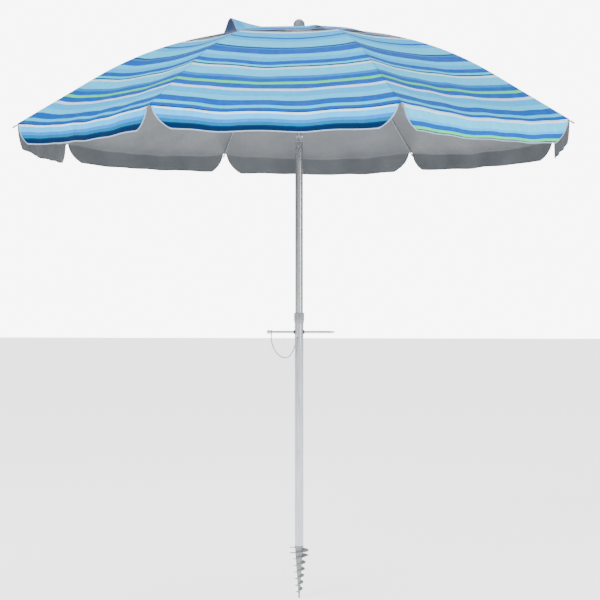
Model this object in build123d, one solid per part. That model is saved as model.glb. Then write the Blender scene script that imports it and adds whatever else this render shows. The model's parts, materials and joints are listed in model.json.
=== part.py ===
from build123d import *
import math
import os

# Octagonal beach umbrella with a tilting two-piece pole, a sand auger and a vented
# canopy.  Millimetres.  Z is up the pole, the origin is the auger's tip on the pole
# axis, and the middle of one canopy gore faces -Y.

# ---------------------------------------------------------------- driving sizes
RIB_COUNT = 8
RIB_STEP = 360 / RIB_COUNT
HALF_GORE = RIB_STEP / 2
FIT = 0.05                      # clearance of fixed fits
SLOT = 3.4                      # slots of the crown and runner
TONGUE = 2.6                    # flattened rib and stretcher ends in those slots
HEAD = 1.8                      # thickness of screw and rivet heads

# Poles
LOWER_R = 14.0
LOWER_BORE_R = 12.8
LOWER_BOTTOM = 171.0
LOWER_TOP = 912.5
UPPER_R = 12.5
UPPER_BORE_R = 11.3
UPPER_BOTTOM = 868.0
PLUG_R = UPPER_BORE_R - FIT
PLUG_FLANGE = 2.0
PLUG_LENGTH = 16.0
PLUG_HOLE_R = 8.0

# Tilting neck
TILT_Z = 1492.0
NECK_HALF = 15.0                # from the tilt pivot to each shoulder
SHOULDER = 5.0
SHANK_LOW = 30.0
SHANK_HIGH = 18.0
EAR_R = 10.0
EAR_INSIDE = 3.5
EAR_OUTSIDE = 7.0
KNUCKLE_HALF = 3.2
TILT_PIN_R = 3.5
TILT_PIN_HEAD_R = 4.5
TILT_BORE_R = 2.3
TILT_BORE_END = -6.6
BUTTON_R = 4.3
BUTTON_INSIDE = 9.5
BUTTON_OUTSIDE = 11.5
BUTTON_STEM_R = 2.0
BUTTON_STEM_END = 1.0
RIVET_R = 1.6
RIVET_DEPTH = 8.0
YOKE_RIVET_Z = 1457.0
KNUCKLE_RIVET_Z = 1523.0

# Sand auger: heights from the tip, with the helix read from its lower end
AUGER_CORE_R = 14.0
AUGER_PIN_R = 2.9
AUGER_PIN_TOP = 21.0
AUGER_SHANK = 44.0
FLIGHT_BOTTOM = 20.7
FLIGHT_JOIN = 138.2
LOWER_TURNS = 5.5
LOWER_FLIGHT_R = (10.2, 24.0)   # at its bottom and top
UPPER_FLIGHT_R = 31.0
UPPER_FLIGHT_PITCH = 17.5
UPPER_TURNS = 1.6
BLADE = 3.0
BLADE_EDGE = 1.2
AUGER_SCREW_Z = 193.0
AUGER_SCREW_R = 1.9

# Locking collar and the split ring inside it
COLLAR_R = 16.5
COLLAR_BOTTOM = 888.0
COLLAR_SHOULDER = 899.0
COLLAR_TOP = 922.0
COLLAR_BORE_R = 14.3
COLLAR_LIP_R = 12.85
COLLAR_POCKET = (912.8, 919.5)
GROOVES = 18
GROOVE_R = 0.7
LINER = (913.0, 919.0)
LINER_R = (12.7, 14.9)
LINER_SPLIT = 1.5

# Crossbar handle and its tether
BAR_Z = 860.0
BAR_R = 4.0
BAR_LEFT = -105.0
BAR_RIGHT = 116.0
BAR_TAPER = 16.0
BAR_END_R = 2.2
BALL_R = 6.5
GROMMET_R = 6.4
GROMMET_OUT = 17.2
CORD_R = 1.75
LOOP_X = -90.0
KNOT_R = 3.0
EYELET_X = -6.0
EYELET_Z = 849.0
EYELET_R = 3.5
EYELET_FRONT = -18.5
EYELET_BACK = -13.9
TETHER_ROUTE = [
    (-90.0, 0.0, 847.5),
    (-90.5, -1.0, 833.0),
    (-85.0, -4.0, 814.0),
    (-74.0, -8.0, 794.0),
    (-56.0, -12.0, 778.0),
    (-36.0, -15.5, 777.0),
    (-22.0, -17.5, 791.0),
    (-14.0, -18.5, 811.0),
    (-8.0, -18.0, 830.0),
    (-6.0, -16.5, 846.5),
]

# Ribs and stretchers in the plane of one rib: distance from the axis, height
RIB_R = 2.0
RIB_PIVOT = (20.0, 1832.0)
RIB_BEND = (444.0, 1787.0)      # where the two straight stretches would cross
RIB_TIP = (922.0, 1491.0)
RIB_BEND_RADIUS = 1130.0
ROD_START = 32.0
ROD_END = 917.0
EYE_R = 3.6
EYE_HOLE_R = 1.25
FERRULE_R = 2.8
FERRULE = (10.0, 26.0)
TIP_CAP_R = 2.6
TIP_CAP_LENGTH = 12.2
BRACKET_REACH = 405.0
BRACKET_DROP = 7.0
BRACKET_HALF = 7.0
CHEEK = (1.7, 2.9)
CHEEK_R = 4.5
BRACKET_PIN_R = 1.1
RUNNER_PIVOT = (22.0, 1570.0)
STRETCHER_R = 1.8
STRETCHER_EYE_R = 3.4
WIRE_R = 1.0

# Crown, finial and runner
CROWN_R = 25.0
CROWN_BOTTOM = 1827.0
CROWN_TOP = 1837.0
CROWN_PLUG = 30.0
STUD_R = 4.0
STUD_BOTTOM = 1813.0
FINIAL_BASE = 1841.0
FINIAL_TOP = 1869.0
FINIAL_R = 18.8
RUNNER_BORE_R = 12.9
RUNNER_R = 16.5
RUNNER_GRIP_R = 18.5
RUNNER_FLANGE_R = 27.0
RUNNER_BOTTOM = 1546.0
RUNNER_TOP = 1592.0
FLANGE_HALF = 8.0

# Runner latch
LATCH = (1534.0, 1544.0)
LATCH_HALF = 2.5
LATCH_NOSE = -15.6
LATCH_TURN = 1576.0
LATCH_STRIP = 0.8
LATCH_BEND_R = 0.9

# Canopy
CLOTH = 0.8
CLOTH_LIFT = 2.9                # from a rib's centre line up to the cloth
VENT_HOLE_R = 366.0
CLOTH_RIM_R = 910.0
SEAM_GAP = 0.3
CAP_R = 390.0
CAP_LIFT = 6.0
CAP_HOLE_R = 5.0
VALANCE_BOTTOM = 1427.0
VALANCE_END = 12.0              # from the rib to the top end of the valance
VALANCE_CUT_BACK = 84.0         # from the rib to the bottom end

# ---------------------------------------------------------------- rib geometry
in_slope = math.atan2(RIB_PIVOT[1] - RIB_BEND[1], RIB_BEND[0] - RIB_PIVOT[0])
out_slope = math.atan2(RIB_BEND[1] - RIB_TIP[1], RIB_TIP[0] - RIB_BEND[0])
bend_tangent = RIB_BEND_RADIUS * math.tan((out_slope - in_slope) / 2)
arc_start = RIB_BEND[0] - bend_tangent * math.cos(in_slope)
arc_end = RIB_BEND[0] + bend_tangent * math.cos(out_slope)
arc_centre_r = arc_start - RIB_BEND_RADIUS * math.sin(in_slope)
arc_centre_z = (RIB_PIVOT[1] - (arc_start - RIB_PIVOT[0]) * math.tan(in_slope)
                - RIB_BEND_RADIUS * math.cos(in_slope))


def rib_height(reach):
    """Height of a rib's centre line at a distance from the pole axis."""
    if reach < arc_start:
        return RIB_PIVOT[1] - (reach - RIB_PIVOT[0]) * math.tan(in_slope)
    if reach > arc_end:
        return RIB_TIP[1] + (RIB_TIP[0] - reach) * math.tan(out_slope)
    return arc_centre_z + math.sqrt(RIB_BEND_RADIUS ** 2 - (reach - arc_centre_r) ** 2)


bracket_slope = math.asin((BRACKET_REACH - arc_centre_r) / RIB_BEND_RADIUS)
bracket_pivot = (
    BRACKET_REACH - BRACKET_DROP * math.sin(bracket_slope),
    rib_height(BRACKET_REACH) - BRACKET_DROP * math.cos(bracket_slope))


# ---------------------------------------------------------------- shape helpers
def disc(radius, bottom, top):
    """A round bar standing on the pole axis."""
    return Pos(0, 0, (bottom + top) / 2) * Cylinder(radius, top - bottom)


def tube(outer, inner, bottom, top):
    return disc(outer, bottom, top) - disc(inner, bottom - 1, top + 1)


def bar_x(radius, start, end, y=0.0, z=0.0):
    return Pos((start + end) / 2, y, z) * Rot(0, 90, 0) * Cylinder(radius, end - start)


def bar_y(radius, start, end, x=0.0, z=0.0):
    return Pos(x, (start + end) / 2, z) * Rot(90, 0, 0) * Cylinder(radius, end - start)


def block(x_range, y_range, z_range):
    """A rectangular block from three (low, high) pairs."""
    spans = [x_range, y_range, z_range]
    middle = [(low + high) / 2 for low, high in spans]
    sizes = [high - low for low, high in spans]
    return Pos(*middle) * Box(*sizes)


def turned(*points):
    """A solid of revolution about Z from (radius, height) corners."""
    outline = Polyline(*[(radius, 0, height) for radius, height in points], close=True)
    return revolve(make_face(outline), axis=Axis.Z)


def around(shape):
    """One copy of a shape for each rib."""
    return [Rot(0, 0, HALF_GORE + RIB_STEP * index) * shape for index in range(RIB_COUNT)]


def radial_slots(inner, outer, bottom, top):
    return around(block((inner, outer), (-SLOT / 2, SLOT / 2), (bottom, top)))


def ring_channel(pivot):
    return Pos(0, 0, pivot[1]) * Torus(pivot[0], WIRE_R + FIT)


def rivet_pair(height):
    """Two flush rivets, front and back, through a pole and the shank inside it."""
    flush = UPPER_R - 0.1
    front = bar_y(RIVET_R, -flush, -RIVET_DEPTH, z=height)
    back = bar_y(RIVET_R, RIVET_DEPTH, flush, z=height)
    return front + back


def rivet_holes(height):
    return bar_y(RIVET_R + FIT, -LOWER_R, LOWER_R, z=height)


def spring(wire, coil, pitch, length):
    """A round-wire compression spring from the origin up Z."""
    path = Helix(pitch, length, coil)
    section = Plane(origin=path @ 0, z_dir=path % 0) * Circle(wire)
    return sweep(section, path=path, is_frenet=True)


# ---------------------------------------------------------------- sand auger
def flight(radius, pitch, turns):
    """A right-hand helical blade, thick at the core and thin at its edge."""
    path = Helix(pitch, pitch * turns, radius / 2)
    root = AUGER_PIN_R * 0.7
    outline = Polyline(
        (root, 0, BLADE / 2), (radius, 0, BLADE_EDGE / 2),
        (radius, 0, -BLADE_EDGE / 2), (root, 0, -BLADE / 2), close=True)
    return sweep(make_face(outline), path=path, is_frenet=True)


def make_sand_auger():
    core = turned(
        (0, 0), (AUGER_PIN_R * 0.6, 0.6), (AUGER_PIN_R, 3.0), (AUGER_PIN_R, AUGER_PIN_TOP),
        (AUGER_CORE_R, LOWER_BOTTOM), (0, LOWER_BOTTOM))
    shank = disc(LOWER_BORE_R - FIT, LOWER_BOTTOM - 1, LOWER_BOTTOM + AUGER_SHANK)
    climb = FLIGHT_JOIN - FLIGHT_BOTTOM
    taper = turned(
        (0, FLIGHT_BOTTOM - BLADE), (LOWER_FLIGHT_R[0], FLIGHT_BOTTOM - BLADE),
        (LOWER_FLIGHT_R[1], FLIGHT_JOIN + BLADE), (0, FLIGHT_JOIN + BLADE))
    screw = Pos(0, 0, FLIGHT_BOTTOM) * Rot(0, 0, 180) * flight(
        LOWER_FLIGHT_R[1], climb / LOWER_TURNS, LOWER_TURNS)
    screw = screw & taper
    wide = Pos(0, 0, FLIGHT_JOIN) * flight(UPPER_FLIGHT_R, UPPER_FLIGHT_PITCH, UPPER_TURNS)
    hole = bar_y(AUGER_SCREW_R + FIT, 5, LOWER_R, z=AUGER_SCREW_Z)
    return core + shank + screw + wide - hole


def make_auger_screw():
    stem = bar_y(AUGER_SCREW_R, 6, LOWER_R + 0.5, z=AUGER_SCREW_Z)
    head = bar_y(AUGER_SCREW_R * 1.8, LOWER_R + 0.2, LOWER_R + 0.2 + HEAD, z=AUGER_SCREW_Z)
    driver = block((-2.2, 2.2), (LOWER_R + 1, LOWER_R + 3), (AUGER_SCREW_Z - 0.4, AUGER_SCREW_Z + 0.4))
    return stem + head - driver


# ---------------------------------------------------------------- poles and collar
def make_lower_pole():
    pole = tube(LOWER_R, LOWER_BORE_R, LOWER_BOTTOM, LOWER_TOP)
    pole -= bar_x(BAR_R + 0.3, -LOWER_R - 1, LOWER_R + 1, z=BAR_Z)
    pole -= bar_y(AUGER_SCREW_R + 0.2, 5, LOWER_R + 1, z=AUGER_SCREW_Z)
    pole -= bar_y(RIVET_R + 0.1, -LOWER_R - 1, -5, x=EYELET_X, z=EYELET_Z)
    return pole


def make_lock_collar():
    collar = turned(
        (COLLAR_BORE_R, COLLAR_BOTTOM), (COLLAR_BORE_R + 0.5, COLLAR_BOTTOM),
        (COLLAR_R, COLLAR_SHOULDER), (COLLAR_R, COLLAR_TOP - 1), (COLLAR_R - 1, COLLAR_TOP),
        (COLLAR_LIP_R, COLLAR_TOP), (COLLAR_LIP_R, COLLAR_POCKET[1]),
        (LINER_R[1] + 0.3, COLLAR_POCKET[1]), (LINER_R[1] + 0.3, COLLAR_POCKET[0]),
        (COLLAR_BORE_R, COLLAR_POCKET[0]))
    groove = Pos(COLLAR_R, 0, 0) * disc(GROOVE_R, COLLAR_SHOULDER + 2, COLLAR_TOP - 3)
    for index in range(GROOVES):
        collar -= Rot(0, 0, 360 / GROOVES * index) * groove
    return collar


def make_collar_liner():
    split = block((LINER_R[0] - 1, LINER_R[1] + 1), (-LINER_SPLIT / 2, LINER_SPLIT / 2), LINER)
    return tube(*reversed(LINER_R), *LINER) - split


def make_upper_pole():
    pole = tube(UPPER_R, UPPER_BORE_R, UPPER_BOTTOM, TILT_Z - NECK_HALF - SHOULDER)
    return pole - rivet_holes(YOKE_RIVET_Z)


def make_upper_pole_plug():
    flange = disc(UPPER_R - 0.1, UPPER_BOTTOM - PLUG_FLANGE, UPPER_BOTTOM)
    plug = disc(PLUG_R, UPPER_BOTTOM - 0.5, UPPER_BOTTOM + PLUG_LENGTH)
    return flange + plug - disc(PLUG_HOLE_R, UPPER_BOTTOM - 5, UPPER_BOTTOM + PLUG_LENGTH + 1)


# ---------------------------------------------------------------- tilting neck
def make_tilt_yoke():
    low = TILT_Z - NECK_HALF
    body = turned(
        (0, low - SHOULDER - SHANK_LOW), (PLUG_R, low - SHOULDER - SHANK_LOW), (PLUG_R, low - SHOULDER),
        (UPPER_R, low - SHOULDER), (UPPER_R, low - 3), (UPPER_R - 1.2, low - 0.8),
        (UPPER_R - 3, low), (0, low))
    for side in (-1, 1):
        faces = sorted((side * EAR_INSIDE, side * EAR_OUTSIDE))
        body += block(faces, (-EAR_R, EAR_R), (low - 1, TILT_Z))
        body += bar_x(EAR_R, *faces, z=TILT_Z)
    body -= bar_x(TILT_PIN_R + FIT, -UPPER_R, UPPER_R, z=TILT_Z)
    return body - rivet_holes(YOKE_RIVET_Z)


def make_tilt_knuckle():
    high = TILT_Z + NECK_HALF
    body = turned(
        (0, high), (UPPER_R - 2, high), (UPPER_R, high + 2), (UPPER_R, high + SHOULDER),
        (PLUG_R, high + SHOULDER), (PLUG_R, high + SHOULDER + SHANK_HIGH),
        (0, high + SHOULDER + SHANK_HIGH))
    body += block((-KNUCKLE_HALF, KNUCKLE_HALF), (-EAR_R, EAR_R), (TILT_Z, high + 1))
    body += bar_x(EAR_R, -KNUCKLE_HALF, KNUCKLE_HALF, z=TILT_Z)
    body -= bar_x(TILT_PIN_R + 0.2, -UPPER_R, UPPER_R, z=TILT_Z)
    return body - rivet_holes(KNUCKLE_RIVET_Z)


def make_tilt_pin():
    pin = bar_x(TILT_PIN_R, -EAR_OUTSIDE - 0.5, EAR_OUTSIDE + 0.2, z=TILT_Z)
    pin += bar_x(TILT_PIN_HEAD_R, -EAR_OUTSIDE - HEAD, -EAR_OUTSIDE - 0.1, z=TILT_Z)
    return pin - bar_x(TILT_BORE_R, TILT_BORE_END, EAR_OUTSIDE + 1, z=TILT_Z)


def make_tilt_button():
    cap = bar_x(BUTTON_R, BUTTON_INSIDE, BUTTON_OUTSIDE, z=TILT_Z)
    cap = chamfer(cap.edges().sort_by(Axis.X)[-1], 0.6)
    return cap + bar_x(BUTTON_STEM_R, BUTTON_STEM_END, BUTTON_INSIDE + 0.5, z=TILT_Z)


def make_tilt_spring():
    coil = spring(0.3, 1.7, 1.2, BUTTON_STEM_END - TILT_BORE_END - 1.2)
    return Pos(TILT_BORE_END + 0.6, 0, TILT_Z) * Rot(0, 90, 0) * coil


# ---------------------------------------------------------------- crossbar and tether
def make_crossbar():
    rod = turned(
        (0, BAR_LEFT + 1), (BAR_R, BAR_LEFT + 1), (BAR_R, BAR_RIGHT - BAR_TAPER),
        (BAR_END_R, BAR_RIGHT - 1), (BAR_END_R - 1, BAR_RIGHT), (0, BAR_RIGHT))
    ball = Pos(0, 0, BAR_LEFT + BALL_R) * Sphere(BALL_R)
    return Pos(0, 0, BAR_Z) * Rot(0, 90, 0) * (rod + ball)


def make_crossbar_grommets():
    rings = bar_x(GROMMET_R, -GROMMET_OUT, GROMMET_OUT, z=BAR_Z)
    rings -= disc(LOWER_R + FIT, BAR_Z - 20, BAR_Z + 20)
    return rings - bar_x(BAR_R + 0.3, -GROMMET_OUT - 1, GROMMET_OUT + 1, z=BAR_Z)


def make_tether_loop():
    loop_r = BAR_R + CORD_R + 0.15
    loop = Pos(LOOP_X, 0, BAR_Z) * Rot(0, 90, 0) * Torus(loop_r, CORD_R)
    knot = Pos(LOOP_X, 0, BAR_Z - loop_r - KNOT_R) * Sphere(KNOT_R)
    return loop + knot


def tether_radii():
    """The largest tangent arc that each corner of the tether's route has room for."""
    corners = [Vector(*point) for point in TETHER_ROUTE]
    radii = []
    for before, here, after in zip(corners, corners[1:], corners[2:]):
        shorter = min((here - before).length, (after - here).length)
        turn = math.radians((here - before).get_angle(after - here))
        radii.append(0.45 * shorter / math.tan(turn / 2))
    return radii


def make_tether_cord():
    path = FilletPolyline(*TETHER_ROUTE, radius=tether_radii())
    section = Plane(origin=path @ 0, z_dir=path % 0) * Circle(CORD_R)
    cord = sweep(section, path=path)
    print("tether length", round(path.length, 1), "arc radii", [round(r, 1) for r in tether_radii()])
    print("tether volume over section times length", cord.volume / (math.pi * CORD_R ** 2 * path.length))
    return cord


def make_tether_eyelet():
    head = bar_y(EYELET_R, EYELET_FRONT, EYELET_BACK, x=EYELET_X, z=EYELET_Z)
    return head + bar_y(RIVET_R, EYELET_BACK - 1, -10, x=EYELET_X, z=EYELET_Z)


# ---------------------------------------------------------------- crown and finial
def make_top_pole():
    pole = tube(UPPER_R, UPPER_BORE_R, TILT_Z + NECK_HALF + SHOULDER, CROWN_BOTTOM)
    window = (-LATCH_HALF - 0.3, LATCH_HALF + 0.3)
    pole -= block(window, (-LOWER_R, -UPPER_BORE_R / 2), (LATCH[0] - 0.4, LATCH[1] + 0.4))
    return pole - rivet_holes(KNUCKLE_RIVET_Z)


def make_crown_hub():
    hub = turned(
        (0, CROWN_BOTTOM - CROWN_PLUG), (PLUG_R, CROWN_BOTTOM - CROWN_PLUG), (PLUG_R, CROWN_BOTTOM),
        (CROWN_R - 2, CROWN_BOTTOM), (CROWN_R, CROWN_BOTTOM + 2), (CROWN_R, CROWN_TOP - 1),
        (CROWN_R - 1, CROWN_TOP), (0, CROWN_TOP))
    for slot in radial_slots(RIB_PIVOT[0] - EYE_R - 0.9, CROWN_R + 2, CROWN_BOTTOM - 1, CROWN_TOP + 1):
        hub -= slot
    hub -= ring_channel(RIB_PIVOT)
    return hub - disc(STUD_R + FIT, STUD_BOTTOM - 1, CROWN_TOP + 1)


def make_finial():
    stud = disc(STUD_R, STUD_BOTTOM, FINIAL_BASE + 1)
    widest = FINIAL_BASE + 9
    outline = Line((0, 0, FINIAL_BASE), (FINIAL_R - 1.5, 0, FINIAL_BASE))
    outline += ThreePointArc(
        (FINIAL_R - 1.5, 0, FINIAL_BASE), (FINIAL_R - 0.4, 0, FINIAL_BASE + 4), (FINIAL_R, 0, widest))
    outline += Bezier(
        (FINIAL_R, 0, widest), (FINIAL_R, 0, widest + 10.5), (FINIAL_R * 0.55, 0, FINIAL_TOP),
        (0, 0, FINIAL_TOP))
    outline += Line((0, 0, FINIAL_TOP), (0, 0, FINIAL_BASE))
    return revolve(make_face(outline), axis=Axis.Z) + stud


def make_wire_ring(pivot):
    return Pos(0, 0, pivot[1]) * Torus(pivot[0], WIRE_R)


# ---------------------------------------------------------------- runner and latch
def make_runner():
    low = RUNNER_PIVOT[1] - FLANGE_HALF
    high = RUNNER_PIVOT[1] + FLANGE_HALF
    runner = turned(
        (RUNNER_BORE_R, RUNNER_BOTTOM), (RUNNER_GRIP_R - 1, RUNNER_BOTTOM),
        (RUNNER_GRIP_R, RUNNER_BOTTOM + 1), (RUNNER_GRIP_R, RUNNER_BOTTOM + 3),
        (RUNNER_R - 0.5, RUNNER_BOTTOM + 7), (RUNNER_R - 0.5, low), (RUNNER_FLANGE_R - 1, low),
        (RUNNER_FLANGE_R, low + 1), (RUNNER_FLANGE_R, high - 1), (RUNNER_FLANGE_R - 1, high),
        (RUNNER_R, high), (RUNNER_R, RUNNER_TOP - 3), (RUNNER_R - 1.5, RUNNER_TOP),
        (RUNNER_BORE_R, RUNNER_TOP))
    for slot in radial_slots(RUNNER_PIVOT[0] - EYE_R - 0.8, RUNNER_FLANGE_R + 2, low - 1, high + 1):
        runner -= slot
    return runner - ring_channel(RUNNER_PIVOT)


def make_latch_catch():
    """A hairpin of spring strip: its bent nose stands out through the tube's slot."""
    wall = UPPER_BORE_R - 1.4
    path = FilletPolyline(
        (0, -wall, LATCH[0] - 2), (0, -wall, LATCH[0] + 1.5), (0, LATCH_NOSE, LATCH[1] - 2.5),
        (0, -wall, LATCH[1] - 0.6), (0, -wall, LATCH_TURN), (0, wall, LATCH_TURN),
        (0, wall, LATCH[1] + 4), radius=LATCH_BEND_R)
    section = Plane(origin=path @ 0, x_dir=(1, 0, 0), z_dir=path % 0) * Rectangle(2 * LATCH_HALF, LATCH_STRIP)
    return sweep(section, path=path)


# ---------------------------------------------------------------- ribs and stretchers
def on_rib(reach, slope, drop=0.0):
    """The frame of a fitting on the rib in the XZ plane, with its X along the rib."""
    place = Pos(reach - drop * math.sin(slope), 0, rib_height(reach) - drop * math.cos(slope))
    return place * Rot(0, math.degrees(slope), 0)


def make_rib():
    path = FilletPolyline(
        (ROD_START, 0, rib_height(ROD_START)), (RIB_BEND[0], 0, RIB_BEND[1]),
        (ROD_END, 0, rib_height(ROD_END)), radius=RIB_BEND_RADIUS)
    section = Plane(origin=path @ 0, z_dir=path % 0) * Circle(RIB_R)
    return sweep(section, path=path)


def make_root_ferrule():
    half = TONGUE / 2
    eye = bar_y(EYE_R, -half, half) + block((2, FERRULE[0] + 2), (-half, half), (-2.2, 2.2))
    sleeve = bar_x(FERRULE_R, *FERRULE)
    sleeve -= bar_x(RIB_R + FIT, (ROD_START - RIB_PIVOT[0]) / math.cos(in_slope) - 0.1, FERRULE[1] + 1)
    eye -= bar_x(RIB_R + FIT, (ROD_START - RIB_PIVOT[0]) / math.cos(in_slope) - 0.1, FERRULE[1] + 1)
    ferrule = eye + sleeve - bar_y(EYE_HOLE_R, -3, 3)
    return on_rib(RIB_PIVOT[0], in_slope) * ferrule


def make_stretcher_bracket():
    """The clip under the rib with its two cheeks, and the pin through them."""
    saddle = block((-BRACKET_HALF, BRACKET_HALF), (-CHEEK[1], CHEEK[1]), (-3.4, 1.6))
    saddle -= bar_x(RIB_R + FIT, -BRACKET_HALF - 1, BRACKET_HALF + 1)
    pin = bar_y(BRACKET_PIN_R, -CHEEK[1] - 0.5, CHEEK[1] + 0.5, z=-BRACKET_DROP)
    for side in (-1, 1):
        faces = sorted((side * CHEEK[0], side * CHEEK[1]))
        saddle += block((-CHEEK_R, CHEEK_R), faces, (-BRACKET_DROP, -3))
        saddle += bar_y(CHEEK_R, *faces, z=-BRACKET_DROP)
        head = sorted((side * (CHEEK[1] + 0.1), side * (CHEEK[1] + 0.8)))
        pin += bar_y(BRACKET_PIN_R * 1.8, *head, z=-BRACKET_DROP)
    saddle -= bar_y(BRACKET_PIN_R + FIT, -5, 5, z=-BRACKET_DROP)
    place = on_rib(BRACKET_REACH, bracket_slope)
    return place * saddle, place * pin


def make_tip_cap():
    cap = bar_x(TIP_CAP_R, -TIP_CAP_LENGTH, -TIP_CAP_R) + Pos(-TIP_CAP_R, 0, 0) * Sphere(TIP_CAP_R)
    rod_end = (ROD_END - RIB_TIP[0]) / math.cos(out_slope)
    cap -= bar_x(RIB_R + FIT, -TIP_CAP_LENGTH - 1, rod_end + 0.1)
    return on_rib(RIB_TIP[0], out_slope) * cap


def make_rib_fittings():
    saddle, pin = make_stretcher_bracket()
    return make_root_ferrule() + saddle + pin + make_tip_cap()


def make_stretcher():
    """A rod from an open hook on the runner's ring to an eye in the rib's bracket."""
    run = bracket_pivot[0] - RUNNER_PIVOT[0]
    rise = bracket_pivot[1] - RUNNER_PIVOT[1]
    length = math.hypot(run, rise)
    half = TONGUE / 2
    hook_reach = 12.0
    eye_reach = 9.0
    rod = bar_x(STRETCHER_R, hook_reach, length - eye_reach)
    hook = bar_y(EYE_R, -half, half) + block((0, hook_reach + 1), (-half, half), (-2.2, 2.2))
    hook -= bar_y(EYE_HOLE_R, -3, 3)
    hook -= block((-EYE_HOLE_R, EYE_HOLE_R), (-3, 3), (0, EYE_R + 1))
    eye = bar_y(STRETCHER_EYE_R, -half, half, x=length)
    eye += block((length - eye_reach - 1, length), (-half, half), (-2.2, 2.2))
    eye -= bar_y(BRACKET_PIN_R + 0.25, -3, 3, x=length)
    place = Pos(RUNNER_PIVOT[0], 0, RUNNER_PIVOT[1]) * Rot(0, -math.degrees(math.atan2(rise, run)), 0)
    return place * (rod + hook + eye)


# ---------------------------------------------------------------- canopy
def cloth_line(start, end, lift):
    """The rib's curve from one reach to another, raised by a lift, in the XZ plane."""
    points = [(reach, 0, rib_height(reach) + lift) for reach in (start, (start + min(end, arc_end)) / 2)]
    last = min(end, arc_end)
    bend = ThreePointArc(*points, (last, 0, rib_height(last) + lift))
    if end <= arc_end:
        return bend
    return bend + Line((last, 0, rib_height(last) + lift), (end, 0, rib_height(end) + lift))


def cloth_section(start, end, lift):
    """The thin outline of a cloth panel where it lies over a rib."""
    low = cloth_line(start, end, lift)
    high = cloth_line(start, end, lift + CLOTH)
    return make_face(low + Line(low @ 1, high @ 1) + high + Line(low @ 0, high @ 0))


def make_canopy_gore():
    """The gore whose middle faces +X, with its valance hanging from the hem."""
    section = cloth_section(VENT_HOLE_R, CLOTH_RIM_R, CLOTH_LIFT)
    sides = []
    for side in (-1, 1):
        shifted = Rot(0, 0, side * HALF_GORE) * Pos(0, -side * SEAM_GAP, 0) * section
        sides.append(shifted)
    panel = loft(sides, ruled=True)
    hem_x = CLOTH_RIM_R * math.cos(math.radians(HALF_GORE))
    rib_y = CLOTH_RIM_R * math.sin(math.radians(HALF_GORE))
    top = rib_height(CLOTH_RIM_R) + CLOTH_LIFT + CLOTH / 2
    top_y = rib_y - VALANCE_END
    low_y = rib_y - VALANCE_CUT_BACK
    edge = Line((0, -top_y, top), (0, top_y, top)) + Line((0, -low_y, VALANCE_BOTTOM), (0, low_y, VALANCE_BOTTOM))
    for side in (-1, 1):
        edge += Bezier(
            (0, side * top_y, top), (0, side * (top_y - 14), top - 34),
            (0, side * (low_y + 36), VALANCE_BOTTOM + 8), (0, side * low_y, VALANCE_BOTTOM))
    flap = Pos(hem_x - CLOTH / 2, 0, 0) * extrude(make_face(edge), amount=CLOTH / 2, both=True)
    return panel + flap


def make_vent_cap():
    """A thin dome over the vent, straight near the pole and bent with the ribs."""
    lines = []
    for lift in (CAP_LIFT, CAP_LIFT + CLOTH):
        hole = (CAP_HOLE_R, 0, rib_height(CAP_HOLE_R) + lift)
        start = (arc_start, 0, rib_height(arc_start) + lift)
        lines.append(Line(hole, start) + cloth_line(arc_start, CAP_R, lift))
    low, high = lines
    face = make_face(low + Line(low @ 1, high @ 1) + high + Line(low @ 0, high @ 0))
    return revolve(face, axis=Axis.Z)


# ---------------------------------------------------------------- all the nodes
single_nodes = {
    "lower_pole": make_lower_pole(),
    "sand_auger": make_sand_auger(),
    "auger_screw": make_auger_screw(),
    "lock_collar": make_lock_collar(),
    "collar_liner": make_collar_liner(),
    "crossbar": make_crossbar(),
    "crossbar_grommets": make_crossbar_grommets(),
    "tether_loop": make_tether_loop(),
    "tether_cord": make_tether_cord(),
    "tether_eyelet": make_tether_eyelet(),
    "upper_pole": make_upper_pole(),
    "upper_pole_plug": make_upper_pole_plug(),
    "tilt_yoke": make_tilt_yoke(),
    "yoke_rivets": rivet_pair(YOKE_RIVET_Z),
    "tilt_pin": make_tilt_pin(),
    "tilt_button": make_tilt_button(),
    "tilt_spring": make_tilt_spring(),
    "tilt_knuckle": make_tilt_knuckle(),
    "knuckle_rivets": rivet_pair(KNUCKLE_RIVET_Z),
    "top_pole": make_top_pole(),
    "crown_hub": make_crown_hub(),
    "crown_ring": make_wire_ring(RIB_PIVOT),
    "finial": make_finial(),
    "vent_cap": make_vent_cap(),
    "runner": make_runner(),
    "runner_ring": make_wire_ring(RUNNER_PIVOT),
    "latch_catch": make_latch_catch(),
}
repeated_nodes = {
    "rib": around(make_rib()),
    "rib_fittings": around(make_rib_fittings()),
    "stretcher": around(make_stretcher()),
    "canopy_gore": [Rot(0, 0, HALF_GORE) * gore for gore in around(make_canopy_gore())],
}

os.makedirs("parts", exist_ok=True)
for name, shape in single_nodes.items():
    export_step(shape, f"parts/{name}.step")
for name, copies in repeated_nodes.items():
    for number, shape in enumerate(copies, start=1):
        export_step(shape, f"parts/{name}_{number}.step")
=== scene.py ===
import json
import math

import bmesh
import bpy
import numpy as np
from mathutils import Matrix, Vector, noise

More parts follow.
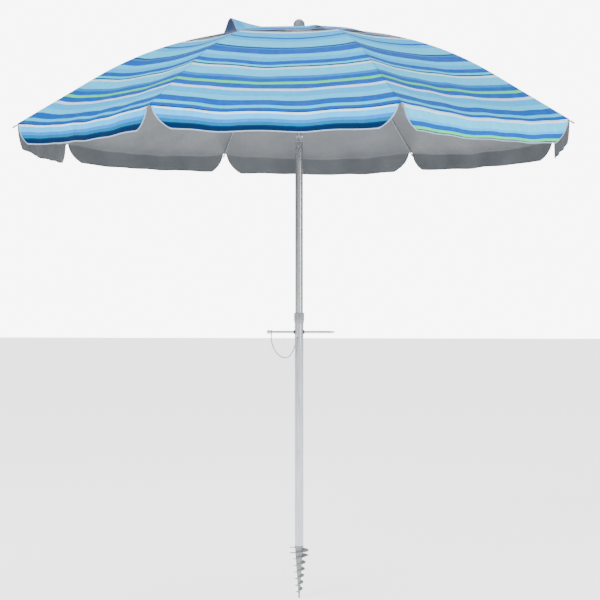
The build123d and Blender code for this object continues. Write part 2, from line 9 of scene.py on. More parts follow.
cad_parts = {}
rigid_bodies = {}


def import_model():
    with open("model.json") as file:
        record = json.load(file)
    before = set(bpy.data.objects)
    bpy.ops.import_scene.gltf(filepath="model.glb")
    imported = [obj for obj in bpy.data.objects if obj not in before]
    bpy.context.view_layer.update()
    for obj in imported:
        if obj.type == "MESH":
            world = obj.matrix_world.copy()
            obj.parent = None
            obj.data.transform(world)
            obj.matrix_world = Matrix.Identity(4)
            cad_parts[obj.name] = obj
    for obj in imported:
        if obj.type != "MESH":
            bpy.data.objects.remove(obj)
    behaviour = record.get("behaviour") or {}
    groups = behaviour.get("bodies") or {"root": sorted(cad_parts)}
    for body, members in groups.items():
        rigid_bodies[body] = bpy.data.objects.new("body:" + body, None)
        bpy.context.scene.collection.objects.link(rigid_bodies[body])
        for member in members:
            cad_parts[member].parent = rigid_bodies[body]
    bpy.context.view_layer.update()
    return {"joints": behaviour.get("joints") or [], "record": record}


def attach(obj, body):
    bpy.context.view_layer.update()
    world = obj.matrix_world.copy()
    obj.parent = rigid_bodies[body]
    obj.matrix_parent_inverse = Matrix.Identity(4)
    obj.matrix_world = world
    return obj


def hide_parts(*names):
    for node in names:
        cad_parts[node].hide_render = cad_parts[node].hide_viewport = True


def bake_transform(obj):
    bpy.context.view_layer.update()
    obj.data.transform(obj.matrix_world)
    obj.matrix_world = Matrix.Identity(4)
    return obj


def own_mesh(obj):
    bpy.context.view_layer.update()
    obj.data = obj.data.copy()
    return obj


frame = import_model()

# Beach umbrella: striped vented canopy with valances, folding ribs, tilting pole,
# crossbar with a tether, and a sand auger.  Metres, in the frame of the CAD model.

# ---------------------------------------------------------------- driving sizes
RIB_COUNT = 8
HALF_GORE = math.pi / RIB_COUNT
RIB_PIVOT = (0.020, 1.832)          # distance from the pole axis, height
RIB_BEND = (0.444, 1.787)
RIB_TIP = (0.922, 1.491)
RIB_BEND_RADIUS = 1.130

CLOTH = 0.0009                      # thickness of the cloth
CLOTH_LIFT = 0.0042                 # from a rib's centre line to the cloth's outside
VENT_RHO = 0.385                    # the vent's hem, measured out along a rib
HEM_RHO = 0.905                     # the rim, measured out along a rib
VENT_SAG = 0.006                    # how far the cloth hangs between two ribs
HEM_SAG = 0.021
FOLD_RADIUS = 0.006                 # round of the cloth where the valance turns down
VALANCE = 0.061                     # straight drop below that round
TALL_VALANCE = 0.066
VALANCE_CUT = 0.056                 # how far its lower corners are cut back
END_GAP = 0.004                     # between a rib and the valance's upper corner
BINDING = 0.0034                    # width of the sewn edge binding
PANEL_ROWS = 64
VALANCE_ROWS = 18
COLUMNS = 26
COLUMN_CROWDING = 1.3               # puts more columns near the rib
SAG_AT_ONCE = 7.0                   # the sag is fully there after a seventh of the reach
FLAP_SAG_LOST = 0.45                # share of the sag that a valance's hem takes back
FLAP_RIPPLE = 0.0045                # waves of the hanging valance
FLAP_TUCK = 0.006                   # how far its hem hangs inward
RIPPLE_WAVES = [(34.0, 1.7, 0.5), (71.0, 1.0, 0.25)]    # per metre, phase per gore, share
CREASE = 0.0035                     # soft unevenness of the stretched cloth
TALL_GORES = (6, 1, 3)              # gores with the taller valance and its brighter print

CAP_EDGE = 0.378                    # the cap's hem, measured out along a rib
CAP_HOLE = 0.006
CAP_LIFT = 0.0048
CAP_ROWS = 44
CAP_COLUMNS = 22
CAP_FLAT_R = 0.17                   # inside this the cap is taut
CAP_BILLOW = 0.0008
CAP_CREASE = 0.0012
CAP_PRINT_CENTRE = 0.650            # the print's place at the pole, and how fast it runs
CAP_PRINT_RATE = 0.6
CAP_LIFTS = [                       # azimuth, half width, rise of each lifted fold
    (math.radians(-121.0), math.radians(5.6), 0.044),
    (math.radians(-76.0), math.radians(4.0), 0.012),
    (math.radians(-58.0), math.radians(9.0), 0.006),
    (math.radians(66.0), math.radians(9.0), 0.010),
    (math.radians(150.0), math.radians(9.0), 0.007),
]

CORD_D = 0.0035
TETHER_ROUTE = [
    (-0.0900, 0.0000, 0.8475),
    (-0.0905, -0.0010, 0.8330),
    (-0.0850, -0.0040, 0.8140),
    (-0.0740, -0.0080, 0.7940),
    (-0.0560, -0.0120, 0.7780),
    (-0.0360, -0.0155, 0.7770),
    (-0.0220, -0.0175, 0.7910),
    (-0.0140, -0.0185, 0.8110),
    (-0.0080, -0.0180, 0.8300),
    (-0.0060, -0.0165, 0.8465),
]

CAMERA_DISTANCE = 5.50
CAMERA_HEIGHT = 0.994
CAMERA_TURN = math.radians(4.64)
CAMERA_PITCH = math.radians(-0.32)
CAMERA_LENS = 102.3

# ---------------------------------------------------------------- rib geometry
in_slope = math.atan2(RIB_PIVOT[1] - RIB_BEND[1], RIB_BEND[0] - RIB_PIVOT[0])
out_slope = math.atan2(RIB_BEND[1] - RIB_TIP[1], RIB_TIP[0] - RIB_BEND[0])
bend_tangent = RIB_BEND_RADIUS * math.tan((out_slope - in_slope) / 2)
arc_start = RIB_BEND[0] - bend_tangent * math.cos(in_slope)
arc_end = RIB_BEND[0] + bend_tangent * math.cos(out_slope)
arc_centre_r = arc_start - RIB_BEND_RADIUS * math.sin(in_slope)
arc_centre_z = (RIB_PIVOT[1] - (arc_start - RIB_PIVOT[0]) * math.tan(in_slope)
                - RIB_BEND_RADIUS * math.cos(in_slope))


def rib_height(rho):
    """Height of a rib's centre line at a distance from the pole axis."""
    if rho < arc_start:
        return RIB_PIVOT[1] - (rho - RIB_PIVOT[0]) * math.tan(in_slope)
    if rho > arc_end:
        return RIB_TIP[1] + (RIB_TIP[0] - rho) * math.tan(out_slope)
    return arc_centre_z + math.sqrt(RIB_BEND_RADIUS ** 2 - (rho - arc_centre_r) ** 2)


def rib_azimuth(index):
    return HALF_GORE + index * 2 * HALF_GORE


# ---------------------------------------------------------------- material helpers
class Nodes:
    """A material's node tree, with short calls for adding and joining nodes."""

    def __init__(self, name):
        self.material = bpy.data.materials.new(name)
        self.material.use_nodes = True
        self.tree = self.material.node_tree
        self.shader = self.tree.nodes["Principled BSDF"]

    def add(self, kind, **settings):
        node = self.tree.nodes.new(kind)
        for key, value in settings.items():
            setattr(node, key, value)
        return node

    def join(self, source, target):
        self.tree.links.new(source, target)

    def set(self, **values):
        for key, value in values.items():
            self.shader.inputs[key.replace("_", " ")].default_value = value

    def coordinates(self, scale=(1.0, 1.0, 1.0)):
        source = self.add("ShaderNodeTexCoord")
        mapping = self.add("ShaderNodeMapping")
        mapping.inputs["Scale"].default_value = scale
        self.join(source.outputs["Object"], mapping.inputs["Vector"])
        return mapping.outputs["Vector"]

    def noise(self, scale, detail=4.0, stretch=(1.0, 1.0, 1.0), roughness=0.55):
        node = self.add("ShaderNodeTexNoise")
        node.inputs["Scale"].default_value = scale
        node.inputs["Detail"].default_value = detail
        node.inputs["Roughness"].default_value = roughness
        self.join(self.coordinates(stretch), node.inputs["Vector"])
        return node.outputs["Fac"]

    def spread(self, value, low, high, new_low=0.0, new_high=1.0):
        node = self.add("ShaderNodeMapRange")
        node.inputs["From Min"].default_value = low
        node.inputs["From Max"].default_value = high
        node.inputs["To Min"].default_value = new_low
        node.inputs["To Max"].default_value = new_high
        self.join(value, node.inputs["Value"])
        return node.outputs["Result"]

    def mix(self, share, first, second, blend="MIX"):
        node = self.add("ShaderNodeMix", data_type="RGBA", blend_type=blend)
        sockets = (node.inputs["Factor"], node.inputs[6], node.inputs[7])
        for value, socket in zip((share, first, second), sockets):
            if isinstance(value, (int, float, tuple)):
                socket.default_value = value
            else:
                self.join(value, socket)
        return node.outputs[2]

    def maths(self, operation, first, second=0.0):
        node = self.add("ShaderNodeMath", operation=operation)
        for value, socket in zip((first, second), node.inputs):
            if isinstance(value, (int, float)):
                socket.default_value = value
            else:
                self.join(value, socket)
        return node.outputs[0]

    def bump(self, height, strength, distance):
        node = self.add("ShaderNodeBump")
        node.inputs["Strength"].default_value = strength
        node.inputs["Distance"].default_value = distance
        self.join(height, node.inputs["Height"])
        self.join(node.outputs["Normal"], self.shader.inputs["Normal"])

    def attribute(self, name):
        return self.add("ShaderNodeAttribute", attribute_name=name).outputs["Fac"]


def srgb(red, green, blue):
    """A linear colour from 0 to 255 display values."""
    linear = []
    for value in (red, green, blue):
        share = value / 255
        linear.append(share / 12.92 if share <= 0.04045 else ((share + 0.055) / 1.055) ** 2.4)
    return (*linear, 1.0)


ROYAL = srgb(0, 88, 186)
MID_BLUE = srgb(0, 126, 214)
SKY = srgb(30, 182, 250)
PALE = srgb(64, 206, 255)
CYAN = srgb(30, 206, 246)
WHITE = srgb(196, 228, 250)
LIME = srgb(70, 220, 130)
DEEP = srgb(0, 48, 92)
TEAL = srgb(0, 104, 150)
NAVY = srgb(2, 34, 70)

# The print from the vent's hem to the rim: where each colour starts, in metres
# out along a rib, and its colour.
GORE_PRINT = [
    (0.385, WHITE), (0.400, SKY), (0.441, ROYAL), (0.454, SKY), (0.482, PALE), (0.538, DEEP),
    (0.545, MID_BLUE), (0.553, ROYAL), (0.588, PALE), (0.612, SKY), (0.635, ROYAL), (0.655, CYAN),
    (0.665, DEEP), (0.671, WHITE), (0.682, PALE), (0.719, MID_BLUE), (0.731, ROYAL), (0.751, LIME),
    (0.763, ROYAL), (0.785, WHITE), (0.799, SKY), (0.824, PALE), (0.848, ROYAL), (0.874, CYAN),
    (0.889, ROYAL), (0.905, WHITE),
]
# The print of the two kinds of valance, from the rim's fold down.
VALANCE_PRINT = [(0.0, WHITE), (0.010, SKY), (0.026, MID_BLUE), (0.036, TEAL), (0.046, DEEP), (0.050, NAVY)]
TALL_PRINT = [
    (0.0, WHITE), (0.011, PALE), (0.036, SKY), (0.044, ROYAL), (0.058, LIME), (0.066, NAVY), (0.072, WHITE),
]


def print_ramp(nodes, coordinate, bands, start, end):
    """Colour bands along a coordinate, with edges as sharp as dyed cloth has."""
    scaled = nodes.spread(coordinate, start, end)
    ramp = nodes.add("ShaderNodeValToRGB")
    ramp.color_ramp.interpolation = "CONSTANT"
    stops = ramp.color_ramp.elements
    while len(stops) > 1:
        stops.remove(stops[-1])
    for number, (place, colour) in enumerate(bands):
        share = min(max((place - start) / (end - start), 0.0), 1.0)
        stop = stops[0] if number == 0 else stops.new(share)
        stop.position = share
        stop.color = colour
    nodes.join(scaled, ramp.inputs["Fac"])
    return ramp.outputs["Color"]


def weave(nodes, bump_strength=0.25):
    """The fine plain weave of the coated polyester, with a little soft crumple."""
    threads = []
    for direction in ("X", "Y"):
        wave = nodes.add("ShaderNodeTexWave", bands_direction=direction)
        wave.inputs["Scale"].default_value = 420.0
        wave.inputs["Distortion"].default_value = 0.6
        nodes.join(nodes.coordinates(), wave.inputs["Vector"])
        threads.append(wave.outputs["Fac"])
    fine = [nodes.maths("MULTIPLY", thread, 0.08) for thread in threads]
    cloth = nodes.maths("ADD", *fine)
    crumple = nodes.maths("MULTIPLY", nodes.noise(16.0, 5.0), 0.9)
    nodes.bump(nodes.maths("ADD", cloth, crumple), bump_strength, 0.004)


def make_print_material(name, bands, start, end):
    """Striped cloth: dyed bands, faint mottling, stitched seams and a sewn binding."""
    nodes = Nodes(name)
    wobble = nodes.spread(nodes.noise(9.0, 2.0), 0.3, 0.7, -0.0012, 0.0012)
    along = nodes.maths("ADD", nodes.attribute("stripe"), wobble)
    colour = print_ramp(nodes, along, bands, start, end)
    mottle = nodes.spread(nodes.noise(60.0, 6.0), 0.3, 0.7, 0.90, 1.04)
    grey = nodes.add("ShaderNodeCombineColor")
    for socket in grey.inputs:
        nodes.join(mottle, socket)
    colour = nodes.mix(1.0, colour, grey.outputs["Color"], "MULTIPLY")
    seam = nodes.spread(nodes.attribute("seam"), 0.0016, 0.0034, 0.45, 0.0)
    stitch = nodes.add("ShaderNodeTexWave", bands_direction="X")
    stitch.inputs["Scale"].default_value = 1.0
    stitch.inputs["Distortion"].default_value = 0.0
    dash = nodes.add("ShaderNodeCombineXYZ")
    nodes.join(nodes.maths("MULTIPLY", nodes.attribute("stripe"), 75.0), dash.inputs[0])
    nodes.join(dash.outputs[0], stitch.inputs["Vector"])
    dashes = nodes.spread(stitch.outputs["Fac"], 0.45, 0.55, 0.3, 1.0)
    colour = nodes.mix(nodes.maths("MULTIPLY", seam, dashes), colour, srgb(16, 60, 120))
    edge = nodes.spread(nodes.attribute("edge"), BINDING, BINDING + 0.0006, 1.0, 0.0)
    colour = nodes.mix(edge, colour, srgb(150, 168, 190))
    nodes.join(colour, nodes.shader.inputs["Base Color"])
    nodes.join(nodes.spread(nodes.noise(34.0, 3.0), 0.3, 0.7, 0.50, 0.66), nodes.shader.inputs["Roughness"])
    nodes.set(Specular_IOR_Level=0.05)
    weave(nodes)
    return nodes.material


def make_silver_material():
    """The silver-grey ultraviolet coating on the underside."""
    nodes = Nodes("silver_coating")
    cloud = nodes.spread(nodes.noise(7.0, 5.0), 0.3, 0.7)
    base = nodes.mix(cloud, srgb(76, 80, 84), srgb(90, 94, 98))
    edge = nodes.spread(nodes.attribute("edge"), BINDING, BINDING + 0.0006, 1.0, 0.0)
    base = nodes.mix(edge, base, srgb(58, 62, 68))
    nodes.join(base, nodes.shader.inputs["Base Color"])
    nodes.join(nodes.spread(nodes.noise(90.0, 3.0), 0.3, 0.7, 0.42, 0.58), nodes.shader.inputs["Roughness"])
    nodes.set(Metallic=0.1, Specular_IOR_Level=0.3)
    weave(nodes, 0.18)
    return nodes.material


def make_binding_material():
    nodes = Nodes("edge_binding")
    nodes.join(nodes.mix(nodes.noise(300.0, 2.0), srgb(128, 140, 158), srgb(160, 172, 190)),
               nodes.shader.inputs["Base Color"])
    nodes.set(Roughness=0.8, Sheen_Weight=0.2)
    nodes.bump(nodes.noise(900.0, 2.0), 0.4, 0.0004)
    return nodes.material


def make_tube_material():
    """Drawn aluminium tube, brushed along its length, with fine handling marks."""
    nodes = Nodes("brushed_tube")
    streaks = nodes.noise(900.0, 4.0, (1.0, 1.0, 0.012))
    marks = nodes.noise(30.0, 6.0, (1.0, 1.0, 0.25))
    tone = nodes.mix(nodes.spread(streaks, 0.35, 0.65), srgb(160, 162, 166), srgb(192, 194, 197))
    nodes.join(nodes.mix(nodes.spread(marks, 0.58, 0.75, 0.0, 0.35), tone, srgb(120, 122, 126)),
               nodes.shader.inputs["Base Color"])
    nodes.join(nodes.spread(marks, 0.3, 0.7, 0.16, 0.26), nodes.shader.inputs["Roughness"])
    nodes.set(Metallic=0.95)
    nodes.bump(streaks, 0.12, 0.0003)
    return nodes.material


def make_plastic_material(name, dark, light, roughness=0.5, grain=700.0):
    """Moulded plastic with a fine spark-eroded texture."""
    nodes = Nodes(name)
    cloud = nodes.noise(40.0, 4.0)
    nodes.join(nodes.mix(nodes.spread(cloud, 0.3, 0.7), dark, light), nodes.shader.inputs["Base Color"])
    nodes.join(nodes.spread(nodes.noise(120.0, 3.0), 0.3, 0.7, roughness - 0.07, roughness + 0.07),
               nodes.shader.inputs["Roughness"])
    nodes.set(Specular_IOR_Level=0.45)
    nodes.bump(nodes.noise(grain, 2.0), 0.25, 0.0003)
    return nodes.material


def make_metal_material(name, dark, light, roughness, metallic=1.0):
    nodes = Nodes(name)
    marks = nodes.noise(160.0, 5.0)
    nodes.join(nodes.mix(nodes.spread(marks, 0.3, 0.7), dark, light), nodes.shader.inputs["Base Color"])
    nodes.join(nodes.spread(nodes.noise(60.0, 4.0), 0.3, 0.7, roughness * 0.8, roughness * 1.25),
               nodes.shader.inputs["Roughness"])
    nodes.set(Metallic=metallic)
    nodes.bump(marks, 0.1, 0.0002)
    return nodes.material


def make_cord_material():
    """Round elastic cord with a braided cover."""
    nodes = Nodes("braided_cord")
    braid = nodes.noise(1400.0, 1.0, (1.0, 1.0, 0.5))
    nodes.join(nodes.mix(nodes.spread(braid, 0.4, 0.6), srgb(128, 132, 136), srgb(176, 180, 184)),
               nodes.shader.inputs["Base Color"])
    nodes.set(Roughness=0.75, Sheen_Weight=0.2)
    nodes.bump(braid, 0.6, 0.0004)
    return nodes.material


gore_print = make_print_material("gore_print", GORE_PRINT, 0.385, 0.915)
valance_print = make_print_material("valance_print", VALANCE_PRINT, 0.0, 0.080)
tall_print = make_print_material("tall_valance_print", TALL_PRINT, 0.0, 0.080)
cap_print = make_print_material("cap_print", GORE_PRINT, 0.385, 0.915)
silver = make_silver_material()
# The vent cap's underside is dark navy painted shade, standing in for the shadow inside the cap's slit.
cap_painted_shade = make_plastic_material("cap_painted_shade", srgb(16, 38, 70), srgb(30, 58, 96), 0.8, 1500.0)
binding = make_binding_material()
tube_metal = make_tube_material()
grey_plastic = make_plastic_material("grey_plastic", srgb(112, 115, 119), srgb(138, 141, 145))
auger_plastic = make_plastic_material("auger_plastic", srgb(120, 125, 126), srgb(152, 157, 157), 0.42)
white_plastic = make_plastic_material("white_plastic", srgb(210, 210, 205), srgb(228, 228, 224))
dark_rubber = make_plastic_material("dark_rubber", srgb(52, 54, 58), srgb(70, 72, 76), 0.7)
steel = make_metal_material("satin_steel", srgb(176, 178, 182), srgb(206, 208, 210), 0.42, 0.6)
chrome = make_metal_material("polished_chrome", srgb(205, 207, 210), srgb(224, 225, 228), 0.12)
spring_steel = make_metal_material("spring_steel", srgb(110, 112, 118), srgb(140, 142, 148), 0.35)
rod_coat = make_metal_material("coated_rod", srgb(112, 116, 122), srgb(140, 144, 150), 0.45, 0.6)
cord_cover = make_cord_material()

NODE_FINISHES = {
    "pole_metal": tube_metal,
    "grey_plastic": grey_plastic,
    "white_plastic": white_plastic,
    "grey_rubber": dark_rubber,
    "steel": steel,
    "spring_steel": spring_steel,
    "chrome": chrome,
    "rib_steel": rod_coat,
    "tether": cord_cover,
    "canopy_cloth": silver,
}


def finish_cad_nodes():
    """Every CAD node gets the procedural material of its slot."""
    for part in frame["record"]["subparts"]:
        node = bpy.data.objects[part["node"]]
        material = NODE_FINISHES[part["material_slot"]]
        if part["node"] == "sand_auger":
            material = auger_plastic
        if not node.material_slots:
            node.data.materials.append(material)
        for holder in node.material_slots:
            holder.material = material


# ---------------------------------------------------------------- cloth meshes
def cloth_piece(name, grid, stripe, seam, edge, materials, row_materials):
    """A closed thin shell from a grid of points on the cloth's outside.

    The outside takes the row's material, the inside the next to last material (the silver
    coating, or on the vent cap a dark navy painted shade) and the cut edges the binding.
    The three fields are kept as attributes for the materials.
    """
    rows, columns = grid.shape[:2]
    along = np.gradient(grid, axis=0)
    across = np.gradient(grid, axis=1)
    normal = np.cross(along, across)
    normal /= np.linalg.norm(normal, axis=2, keepdims=True)
    if normal[..., 2].sum() < 0:
        normal = -normal
    inner = grid - normal * CLOTH
    points = np.concatenate([grid.reshape(-1, 3), inner.reshape(-1, 3)])
    count = rows * columns
    faces = []
    kinds = []
    for row in range(rows - 1):
        for column in range(columns - 1):
            corner = row * columns + column
            quad = (corner, corner + columns, corner + columns + 1, corner + 1)
            faces.append(quad)
            kinds.append(row_materials[row])
            faces.append(tuple(index + count for index in reversed(quad)))
            kinds.append(len(materials) - 2)
    rim = list(range(columns))
    rim += [row * columns + columns - 1 for row in range(1, rows)]
    rim += [(rows - 1) * columns + column for column in range(columns - 2, -1, -1)]
    rim += [row * columns for row in range(rows - 2, 0, -1)]
    for here, after in zip(rim, rim[1:] + rim[:1]):
        faces.append((here, after, after + count, here + count))
        kinds.append(len(materials) - 1)
    mesh = bpy.data.meshes.new(name)
    mesh.from_pydata([tuple(point) for point in points], [], faces)
    for material in materials:
        mesh.materials.append(material)
    mesh.polygons.foreach_set("material_index", kinds)
    mesh.polygons.foreach_set("use_smooth", [True] * len(faces))
    for label, field in (("stripe", stripe), ("seam", seam), ("edge", edge)):
        values = np.concatenate([field.ravel(), field.ravel()]).astype(np.float32)
        mesh.attributes.new(label, "FLOAT", "POINT").data.foreach_set("value", values)
    mesh.update()
    fix_winding(mesh)
    piece = bpy.data.objects.new(name, mesh)
    bpy.context.collection.objects.link(piece)
    return piece


def fix_winding(mesh):
    """Turn every face outward, and keep the cut edges crisp."""
    work = bmesh.new()
    work.from_mesh(mesh)
    bmesh.ops.recalc_face_normals(work, faces=work.faces)
    for line in work.edges:
        line.smooth = line.calc_face_angle(0.0) < math.radians(55)
    work.to_mesh(mesh)
    work.free()


def turned_points(points, angle):
    """Points of the gore that faces +X, turned about the pole axis."""
    cosine, sine = math.cos(angle), math.sin(angle)
    x, y, z = points[..., 0], points[..., 1], points[..., 2]
    return np.stack([x * cosine - y * sine, x * sine + y * cosine, z], axis=-1)


def soft_noise(point, scale, seed):
    return noise.noise(Vector(point) * scale + Vector((seed, seed * 0.7, 0.0)))


def panel_row(row):
    """Reach along the rib, distance out, height and print place of a row on the gore."""
    rho = VENT_RHO + (HEM_RHO - VENT_RHO) * row / (PANEL_ROWS - 1)
    return rho, rho, rib_height(rho) + CLOTH_LIFT, rho


def valance_row(row, drop):
    """The same for a row on the valance, which turns down over a small round."""
    round_length = FOLD_RADIUS * (math.pi / 2 - out_slope)
    down = (round_length + drop) * (row - PANEL_ROWS + 1) / VALANCE_ROWS
    turn = min(down, round_length) / FOLD_RADIUS
    outward = HEM_RHO + FOLD_RADIUS * (math.sin(out_slope + turn) - math.sin(out_slope)) * 0.9
    height = rib_height(HEM_RHO) + CLOTH_LIFT
    height -= FOLD_RADIUS * (math.cos(out_slope) - math.cos(out_slope + turn))
    height -= max(down - round_length, 0.0)
    return HEM_RHO, outward, height, down


def half_gore(index, side):
    """The half of gore index next to one of its ribs, from the rib to its middle.

    Gore index faces the azimuth 45 degrees times (index + 1); side is -1 for the half
    next to the rib of the same index and 1 for the half next to the following rib.
    """
    tall = index in TALL_GORES
    drop = TALL_VALANCE if tall else VALANCE
    flap_length = FOLD_RADIUS * (math.pi / 2 - out_slope) + drop
    shares = np.linspace(0.0, 1.0, COLUMNS) ** COLUMN_CROWDING
    rows = PANEL_ROWS + VALANCE_ROWS
    grid = np.zeros((rows, COLUMNS, 3))
    stripe = np.zeros((rows, COLUMNS))
    seam = np.full((rows, COLUMNS), 1.0)
    edge = np.full((rows, COLUMNS), 1.0)
    for row in range(rows):
        on_panel = row < PANEL_ROWS
        rho, outward, height, printed = panel_row(row) if on_panel else valance_row(row, drop)
        level = 0.0 if on_panel else printed / flap_length
        end_cut = 0.0 if on_panel else END_GAP + VALANCE_CUT * (0.35 * level + 0.65 * level ** 3)
        reach = (rho - VENT_RHO) / (HEM_RHO - VENT_RHO)
        grown = min(1.0, 0.5 + 0.6 * reach) * min(1.0, reach * SAG_AT_ONCE)
        sag = VENT_SAG + (HEM_SAG - VENT_SAG) * grown
        half_width = rho * math.sin(HALF_GORE)
        width_here = half_width - end_cut
        for column, share in enumerate(shares):
            lateral = width_here * (1.0 - share)
            across = lateral * side
            inside = 1.0 - (lateral / half_width) ** 2
            waves = [math.sin(across * rate + index * phase) * part for rate, phase, part in RIPPLE_WAVES]
            ripple = sum(waves)
            x = outward * math.cos(HALF_GORE)
            x += (FLAP_RIPPLE * ripple - FLAP_TUCK) * level * inside
            z = height - sag * inside * (1.0 - FLAP_SAG_LOST * level)
            crease = soft_noise((x * 2.2, across * 5.0, index * 3.1), 2.2, index * 1.3)
            z += CREASE * crease * min(inside * 4.0, 1.0) * (0.35 + reach)
            grid[row, column] = (x, across, z)
            stripe[row, column] = printed
            if on_panel:
                seam[row, column] = half_width - lateral
            else:
                edge[row, column] = min((width_here - lateral) * 0.8, flap_length - printed)
    grid = turned_points(grid, (index + 1) * 2 * HALF_GORE)
    kinds = [0] * (PANEL_ROWS - 1) + [1] * (VALANCE_ROWS + 1)
    materials = [gore_print, tall_print if tall else valance_print, silver, binding]
    name = f"gore_{index + 1}_{'first' if side < 0 else 'second'}_half"
    return cloth_piece(name, grid, stripe, seam, edge, materials, kinds), grid


def fold_with_rib(piece, rib, side):
    """Make a cloth piece ride on a rib's body, with a mesh of its own.

    The direction along which the cloth would flatten as the ribs close, chosen so that its edge
    in the middle of the gore stays on the gore's middle plane while the rib turns down, is
    worked out but not used.
    """
    azimuth = rib_azimuth(rib)
    body = f"rib_{rib + 1}_body"
    closing = next(joint for joint in frame["joints"] if joint["name"] == f"rib_fold_{rib + 1}")
    turn = math.radians(closing["range_deg"][1])
    outward = Vector((math.cos(azimuth), math.sin(azimuth), 0.0))
    to_rib = Vector((-math.sin(azimuth), math.cos(azimuth), 0.0)) * side
    up = Vector((0.0, 0.0, 1.0))
    folded = to_rib * math.cos(HALF_GORE)
    folded += (outward * math.cos(turn) + up * math.sin(turn)) * math.sin(HALF_GORE)
    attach(piece, body)
    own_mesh(piece)


# ---------------------------------------------------------------- the canopy
def make_gores():
    for index in range(RIB_COUNT):
        for side in (-1, 1):
            piece, grid = half_gore(index, side)
            rib = index if side < 0 else (index + 1) % RIB_COUNT
            fold_with_rib(piece, rib, side)
            if side < 0:
                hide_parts(f"canopy_gore_{index + 1}")


def cap_rise(azimuth, rho):
    """How far the vent cap's loose edge stands up at a place."""
    rise = 0.0
    outer = max((rho - CAP_FLAT_R) / (CAP_EDGE - CAP_FLAT_R), 0.0) ** 1.7
    for centre, half_width, height in CAP_LIFTS:
        away = abs(math.remainder(azimuth - centre, 2 * math.pi)) / half_width
        if away < 1.0:
            rise += height * outer * (0.5 + 0.5 * math.cos(math.pi * away)) ** 0.8
    between = abs(math.sin(azimuth * RIB_COUNT / 2 + math.pi / 2))
    return rise + CAP_BILLOW * outer * between


def cap_sector(index, side):
    """The half of a vent cap facet next to one rib, stretched straight across."""
    grid = np.zeros((CAP_ROWS, CAP_COLUMNS, 3))
    stripe = np.zeros((CAP_ROWS, CAP_COLUMNS))
    seam = np.zeros((CAP_ROWS, CAP_COLUMNS))
    edge = np.zeros((CAP_ROWS, CAP_COLUMNS))
    gore_azimuth = (index + 1) * 2 * HALF_GORE
    for row in range(CAP_ROWS):
        rho = CAP_HOLE + (CAP_EDGE - CAP_HOLE) * row / (CAP_ROWS - 1)
        x = rho * math.cos(HALF_GORE)
        half_width = rho * math.sin(HALF_GORE)
        for column in range(CAP_COLUMNS):
            lateral = half_width * (1.0 - column / (CAP_COLUMNS - 1))
            azimuth = gore_azimuth + math.atan2(lateral * side, x)
            z = rib_height(rho) + CAP_LIFT + cap_rise(azimuth, rho)
            distance = math.hypot(x, lateral)
            ahead = distance * math.sin(azimuth)
            crease = soft_noise((distance * math.cos(azimuth), ahead, 0.0), 9.0, 4.0)
            z += CAP_CREASE * crease * rho / CAP_EDGE
            grid[row, column] = (x, lateral * side, z)
            stripe[row, column] = CAP_PRINT_CENTRE + CAP_PRINT_RATE * ahead
            seam[row, column] = half_width - lateral
            edge[row, column] = CAP_EDGE - rho
    grid = turned_points(grid, gore_azimuth)
    # On the vent cap the inside takes the dark navy painted shade in place of the silver coating.
    materials = [cap_print, cap_painted_shade, binding]
    name = f"vent_cap_{index + 1}_{'first' if side < 0 else 'second'}_half"
    return cloth_piece(name, grid, stripe, seam, edge, materials, [0] * CAP_ROWS), grid


def make_vent_cap():
    for index in range(RIB_COUNT):
        for side in (-1, 1):
            piece, grid = cap_sector(index, side)
            rib = index if side < 0 else (index + 1) % RIB_COUNT
            fold_with_rib(piece, rib, side)
            if index == 0 and side < 0:
                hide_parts("vent_cap")


# ---------------------------------------------------------------- the tether
def make_tether():
    """The crossbar's cord: one open spline through the route, swept to a tube."""
    curve = bpy.data.curves.new("tether_route", "CURVE")
    curve.dimensions = "3D"
    spline = curve.splines.new("NURBS")
    spline.points.add(len(TETHER_ROUTE) - 1)
    for point, place in zip(spline.points, TETHER_ROUTE):
        point.co = (*place, 1.0)
    spline.order_u = 3
    spline.use_endpoint_u = True
    spline.resolution_u = 12
    route = bpy.data.objects.new("tether_route", curve)
    bpy.context.collection.objects.link(route)
    bpy.context.view_layer.update()
    line = bpy.data.meshes.new_from_object(route.evaluated_get(bpy.context.evaluated_depsgraph_get()))
    curve.bevel_depth = CORD_D / 2
    curve.bevel_resolution = 5
    curve.use_fill_caps = True
    bpy.context.view_layer.update()
    mesh = bpy.data.meshes.new_from_object(route.evaluated_get(bpy.context.evaluated_depsgraph_get()))
    mesh.materials.clear()
    mesh.materials.append(cord_cover)
    bpy.data.objects.remove(route)
    cord = bpy.data.objects.new("tether", mesh)
    bpy.context.collection.objects.link(cord)
    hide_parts("tether_cord")
    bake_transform(cord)


# ---------------------------------------------------------------- stage and camera
def make_stage():
    size = 30.0
    mesh = bpy.data.meshes.new("floor")
    corners = [(-size, -size, 0), (size, -size, 0), (size, size, 0), (-size, size, 0)]
    mesh.from_pydata(corners, [], [(0, 1, 2, 3)])
    floor = bpy.data.objects.new("floor", mesh)
    floor.location.z = -0.0005
    bpy.context.collection.objects.link(floor)
    nodes = Nodes("pale_floor")
    nodes.set(Base_Color=(0.92, 0.92, 0.92, 1.0), Roughness=0.95, Specular_IOR_Level=0.1)
    nodes.set(Emission_Color=(1.0, 1.0, 1.0, 1.0), Emission_Strength=2.2)
    mesh.materials.append(nodes.material)


def area_light(name, place, target, size, power, colour=(1.0, 1.0, 1.0)):
    data = bpy.data.lights.new(name, "AREA")
    data.shape = "RECTANGLE"
    data.size, data.size_y = size
    data.energy = power
    data.color = colour
    light = bpy.data.objects.new(name, data)
    light.location = place
    light.rotation_euler = (Vector(target) - Vector(place)).to_track_quat("-Z", "Y").to_euler()
    bpy.context.collection.objects.link(light)


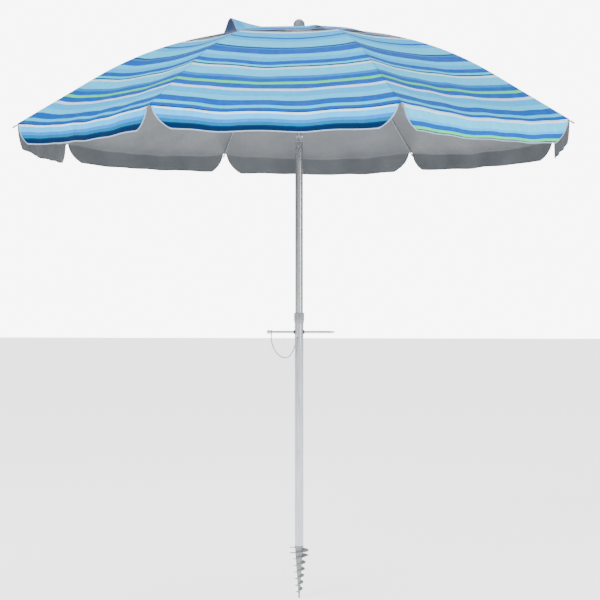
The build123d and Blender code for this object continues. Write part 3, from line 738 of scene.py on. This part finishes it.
def make_lights():
    """Even white studio light; the backdrop the camera sees is white paper."""
    world = bpy.data.worlds.new("studio")
    bpy.context.scene.world = world
    world.use_nodes = True
    tree = world.node_tree
    softbox = tree.nodes.new("ShaderNodeValToRGB")
    softbox.color_ramp.elements[0].position = 0.42
    softbox.color_ramp.elements[0].color = (1.0, 1.0, 1.0, 1.0)
    softbox.color_ramp.elements[1].position = 0.66
    softbox.color_ramp.elements[1].color = (0.30, 0.30, 0.30, 1.0)
    direction = tree.nodes.new("ShaderNodeTexCoord")
    sides = tree.nodes.new("ShaderNodeSeparateXYZ")
    width = tree.nodes.new("ShaderNodeMath")
    width.operation = "ABSOLUTE"
    tree.links.new(direction.outputs["Generated"], sides.inputs[0])
    tree.links.new(sides.outputs["X"], width.inputs[0])
    tree.links.new(width.outputs[0], softbox.inputs["Fac"])
    tree.links.new(softbox.outputs["Color"], tree.nodes["Background"].inputs["Color"])
    tree.nodes["Background"].inputs["Strength"].default_value = 0.95
    backdrop = tree.nodes.new("ShaderNodeBackground")
    backdrop.inputs["Color"].default_value = (1.0, 1.0, 1.0, 1.0)
    backdrop.inputs["Strength"].default_value = 8.0
    rays = tree.nodes.new("ShaderNodeLightPath")
    both = tree.nodes.new("ShaderNodeMixShader")
    tree.links.new(rays.outputs["Is Camera Ray"], both.inputs[0])
    tree.links.new(tree.nodes["Background"].outputs[0], both.inputs[1])
    tree.links.new(backdrop.outputs[0], both.inputs[2])
    tree.links.new(both.outputs[0], tree.nodes["World Output"].inputs["Surface"])
    area_light("key", (-2.5, -5.0, 4.6), (0, 0, 1.3), (2.4, 2.4), 340)
    area_light("fill", (4.5, -4.0, 2.2), (0, 0, 1.0), (1.2, 3.0), 110)
    area_light("top", (0.5, 1.5, 5.5), (0, 0, 1.5), (3.0, 3.0), 90)


def make_camera():
    data = bpy.data.cameras.new("camera")
    data.lens = CAMERA_LENS
    data.sensor_width = 36.0
    data.shift_x = 0.0015
    data.clip_end = 100.0
    camera = bpy.data.objects.new("camera", data)
    camera.location = (
        CAMERA_DISTANCE * math.sin(CAMERA_TURN), -CAMERA_DISTANCE * math.cos(CAMERA_TURN), CAMERA_HEIGHT)
    camera.rotation_euler = (math.pi / 2 + CAMERA_PITCH, 0.0, CAMERA_TURN)
    bpy.context.collection.objects.link(camera)
    bpy.context.scene.camera = camera


make_camera()
make_tether()
finish_cad_nodes()
make_gores()
make_vent_cap()
make_stage()
make_lights()
